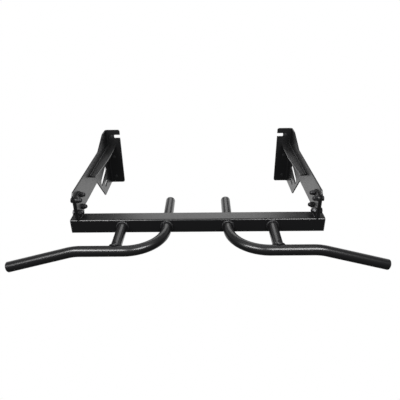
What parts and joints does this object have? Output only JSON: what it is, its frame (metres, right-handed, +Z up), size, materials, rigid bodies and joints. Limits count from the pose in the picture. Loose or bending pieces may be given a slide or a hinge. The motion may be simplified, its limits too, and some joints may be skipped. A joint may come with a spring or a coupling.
{
  "type": "pull up bar",
  "caption": "Wall-mounted pull-up bar: two bent steel brackets carry a square crossbar with curved wide grips and straight rear grips.",
  "frame": {"origin": "on the wall plane, at the middle of the six fixing holes", "axes": "+X to the user's right along the crossbar, +Y into the wall, +Z up"},
  "size_m": [1.1608, 0.6705, 0.24],
  "materials": {
    "bracket_coat": "satin black powder coat on flat plate",
    "crossbar_coat": "satin black powder coat on square tube",
    "handle_coat": "satin black powder coat on round tube",
    "weld_coat": "rippled weld bead under the powder coat",
    "fastener_black": "black zinc-plated steel",
    "cap_plastic": "fine-grained moulded black plastic"
  },
  "bodies": {
    "root": {"crossbar": "crossbar_coat", "left_crossbar_cap": "cap_plastic", "left_dome_nuts": "fastener_black", "left_gusset": "bracket_coat", "left_gusset_weld": "weld_coat", "left_handle_strut": "handle_coat", "left_handle_tube": "handle_coat", "left_handle_welds": "weld_coat", "left_hanger_bolts": "fastener_black", "left_hanger_plate": "bracket_coat", "left_hanger_weld": "weld_coat", "left_head_washers": "fastener_black", "left_nut_washers": "fastener_black", "left_outer_cap": "cap_plastic", "left_rear_cap": "cap_plastic", "left_wall_bracket": "bracket_coat", "right_crossbar_cap": "cap_plastic", "right_dome_nuts": "fastener_black", "right_gusset": "bracket_coat", "right_gusset_weld": "weld_coat", "right_handle_strut": "handle_coat", "right_handle_tube": "handle_coat", "right_handle_welds": "weld_coat", "right_hanger_bolts": "fastener_black", "right_hanger_plate": "bracket_coat", "right_hanger_weld": "weld_coat", "right_head_washers": "fastener_black", "right_nut_washers": "fastener_black", "right_outer_cap": "cap_plastic", "right_rear_cap": "cap_plastic", "right_wall_bracket": "bracket_coat"}
  },
  "joints": []
}
